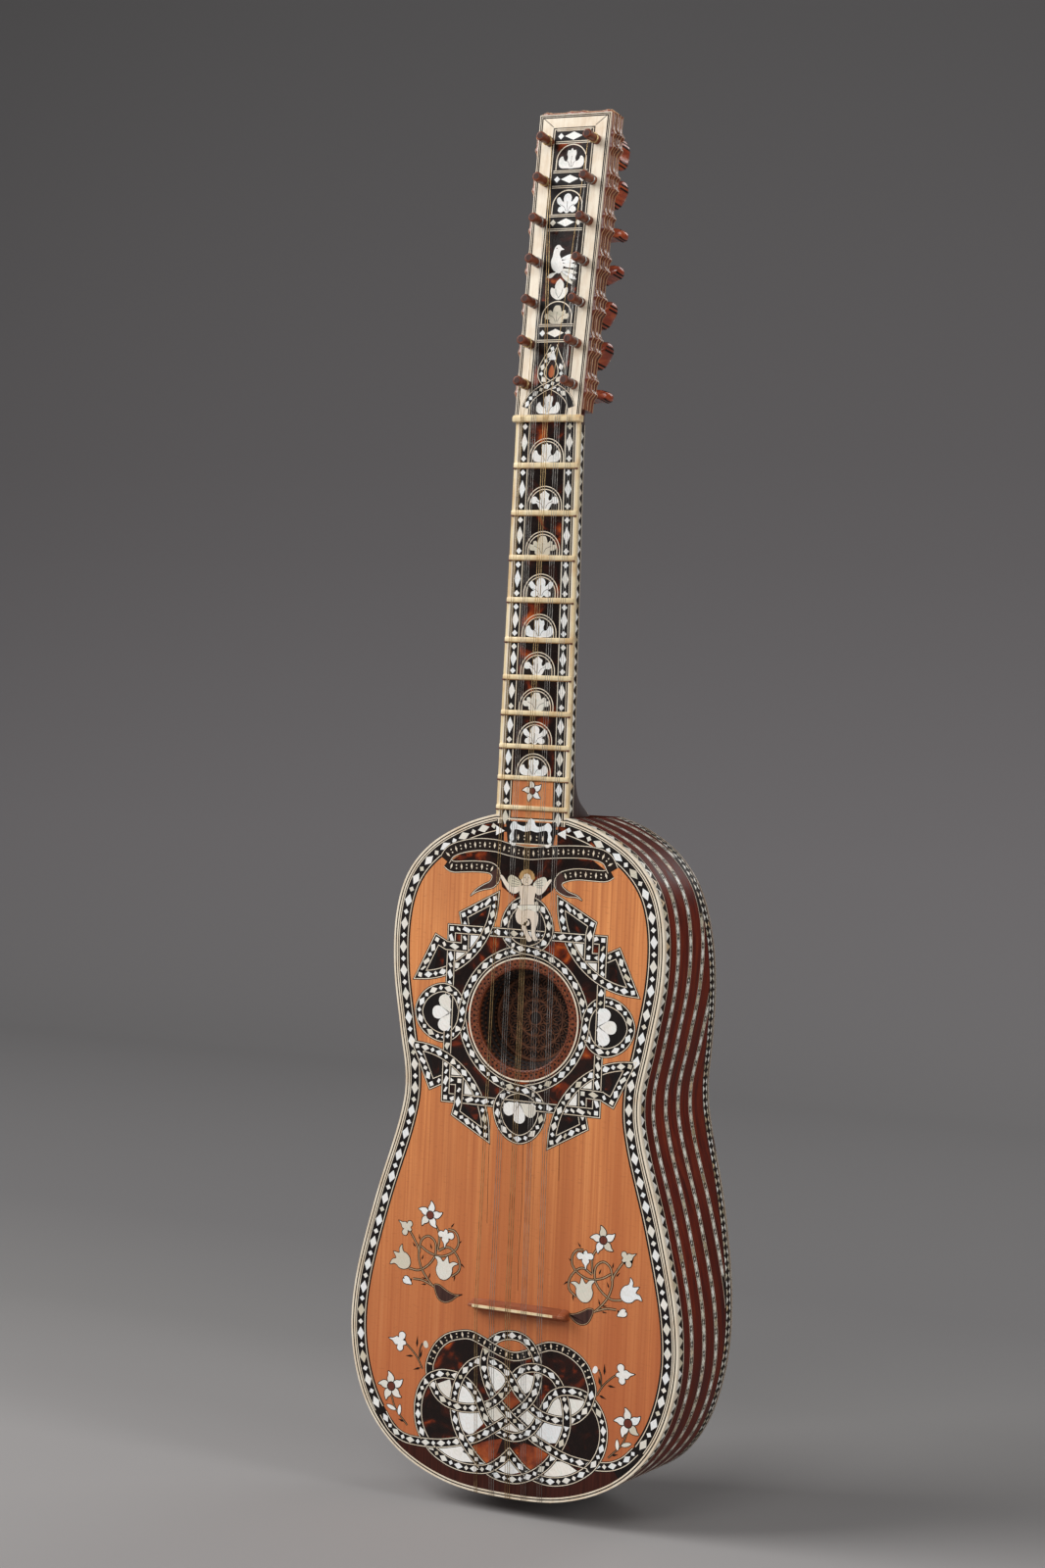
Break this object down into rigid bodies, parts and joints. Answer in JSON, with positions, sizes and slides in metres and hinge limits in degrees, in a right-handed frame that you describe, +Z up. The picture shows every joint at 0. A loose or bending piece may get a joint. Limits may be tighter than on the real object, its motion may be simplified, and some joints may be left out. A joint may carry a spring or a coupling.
{
  "type": "wire-strung baroque guitar",
  "caption": "Upright waisted baroque guitar with a vaulted back, inlaid table and fingerboard, sunken rose, floating bridge, wire courses and rear-turned friction pegs in a scalloped head.",
  "frame": {"origin": "on the centreline at the nut, 1 mm behind the face of the head's foot: where a padded hanger or rack arm carries the neck", "axes": "+Z up along the strings towards the head, +Y from the table towards the back, +X to the right of someone who faces the table"},
  "size_m": [0.245, 0.1549, 0.9327],
  "materials": {
    "spruce": "aged varnish, straight upright grain",
    "ebony": "polished",
    "bone": "polished aged bone",
    "inlay_strip": "pearl and dark mastic, polished",
    "rib_wood": "dark red-brown, satin",
    "back_wood": "dark red-brown, satin",
    "inner_spruce": "bare",
    "rose_wood": "carved, matt",
    "bridge_wood": "polished",
    "peg_wood": "polished red-brown",
    "pin_metal": "worn",
    "brass_wire": "drawn wire",
    "steel_wire": "drawn wire"
  },
  "bodies": {
    "guitar": {"soundboard": "spruce", "fingerboard": "ebony", "end_button": "ebony", "table_border": "ebony", "front_binding": "bone", "fingerboard_binding": "bone", "frets": "bone", "nut": "bone", "head_face": "bone", "front_edge_strip": "inlay_strip", "rib_lines": "inlay_strip", "rear_edge_strip": "inlay_strip", "rib_1": "rib_wood", "rib_2": "rib_wood", "rib_3": "rib_wood", "rib_4": "rib_wood", "rib_5": "rib_wood", "neck": "rib_wood", "head_core": "rib_wood", "head_edge_front": "rib_wood", "head_edge_middle": "rib_wood", "head_edge_back": "rib_wood", "back_stave_1": "back_wood", "back_stave_2": "back_wood", "back_stave_3": "back_wood", "back_stave_4": "back_wood", "back_stave_5": "back_wood", "back_stave_6": "back_wood", "back_stave_7": "back_wood", "lining_front": "inner_spruce", "lining_back": "inner_spruce", "neck_block": "inner_spruce", "tail_block": "inner_spruce", "table_braces": "inner_spruce", "back_braces": "inner_spruce", "rose_rim": "rose_wood", "rose_cup": "rose_wood", "rose_disc": "rose_wood", "bridge": "bridge_wood", "hitch_pins": "pin_metal", "course_1": "brass_wire", "course_3": "brass_wire", "course_2": "steel_wire", "course_4": "steel_wire", "course_5": "steel_wire"},
    "peg_left_1": {"peg_left_1": "peg_wood"},
    "peg_left_2": {"peg_left_2": "peg_wood"},
    "peg_left_3": {"peg_left_3": "peg_wood"},
    "peg_left_4": {"peg_left_4": "peg_wood"},
    "peg_left_5": {"peg_left_5": "peg_wood"},
    "peg_left_6": {"peg_left_6": "peg_wood"},
    "peg_left_7": {"peg_left_7": "peg_wood"},
    "peg_right_1": {"peg_right_1": "peg_wood"},
    "peg_right_2": {"peg_right_2": "peg_wood"},
    "peg_right_3": {"peg_right_3": "peg_wood"},
    "peg_right_4": {"peg_right_4": "peg_wood"},
    "peg_right_5": {"peg_right_5": "peg_wood"},
    "peg_right_6": {"peg_right_6": "peg_wood"},
    "peg_right_7": {"peg_right_7": "peg_wood"}
  },
  "joints": [
    {"name": "turn_left_1", "type": "hinge", "parent": "guitar", "child": "peg_left_1", "pos_m": [-0.0172, 0.00126, 0.01987], "axis": [0, 0.9936, -0.1132], "continuous": true},
    {"name": "turn_left_2", "type": "hinge", "parent": "guitar", "child": "peg_left_2", "pos_m": [-0.0172, 0.00437, 0.04709], "axis": [0, 0.9936, -0.1132], "continuous": true},
    {"name": "turn_left_3", "type": "hinge", "parent": "guitar", "child": "peg_left_3", "pos_m": [-0.0172, 0.00747, 0.07432], "axis": [0, 0.9936, -0.1132], "continuous": true},
    {"name": "turn_left_4", "type": "hinge", "parent": "guitar", "child": "peg_left_4", "pos_m": [-0.0172, 0.01057, 0.10154], "axis": [0, 0.9936, -0.1132], "continuous": true},
    {"name": "turn_left_5", "type": "hinge", "parent": "guitar", "child": "peg_left_5", "pos_m": [-0.0172, 0.01367, 0.12877], "axis": [0, 0.9936, -0.1132], "continuous": true},
    {"name": "turn_left_6", "type": "hinge", "parent": "guitar", "child": "peg_left_6", "pos_m": [-0.0172, 0.01677, 0.15599], "axis": [0, 0.9936, -0.1132], "continuous": true},
    {"name": "turn_left_7", "type": "hinge", "parent": "guitar", "child": "peg_left_7", "pos_m": [-0.0172, 0.01988, 0.18321], "axis": [0, 0.9936, -0.1132], "continuous": true},
    {"name": "turn_right_1", "type": "hinge", "parent": "guitar", "child": "peg_right_1", "pos_m": [0.0172, 0.00126, 0.01987], "axis": [0, 0.9936, -0.1132], "continuous": true},
    {"name": "turn_right_2", "type": "hinge", "parent": "guitar", "child": "peg_right_2", "pos_m": [0.0172, 0.00437, 0.04709], "axis": [0, 0.9936, -0.1132], "continuous": true},
    {"name": "turn_right_3", "type": "hinge", "parent": "guitar", "child": "peg_right_3", "pos_m": [0.0172, 0.00747, 0.07432], "axis": [0, 0.9936, -0.1132], "continuous": true},
    {"name": "turn_right_4", "type": "hinge", "parent": "guitar", "child": "peg_right_4", "pos_m": [0.0172, 0.01057, 0.10154], "axis": [0, 0.9936, -0.1132], "continuous": true},
    {"name": "turn_right_5", "type": "hinge", "parent": "guitar", "child": "peg_right_5", "pos_m": [0.0172, 0.01367, 0.12877], "axis": [0, 0.9936, -0.1132], "continuous": true},
    {"name": "turn_right_6", "type": "hinge", "parent": "guitar", "child": "peg_right_6", "pos_m": [0.0172, 0.01677, 0.15599], "axis": [0, 0.9936, -0.1132], "continuous": true},
    {"name": "turn_right_7", "type": "hinge", "parent": "guitar", "child": "peg_right_7", "pos_m": [0.0172, 0.01988, 0.18321], "axis": [0, 0.9936, -0.1132], "continuous": true}
  ]
}
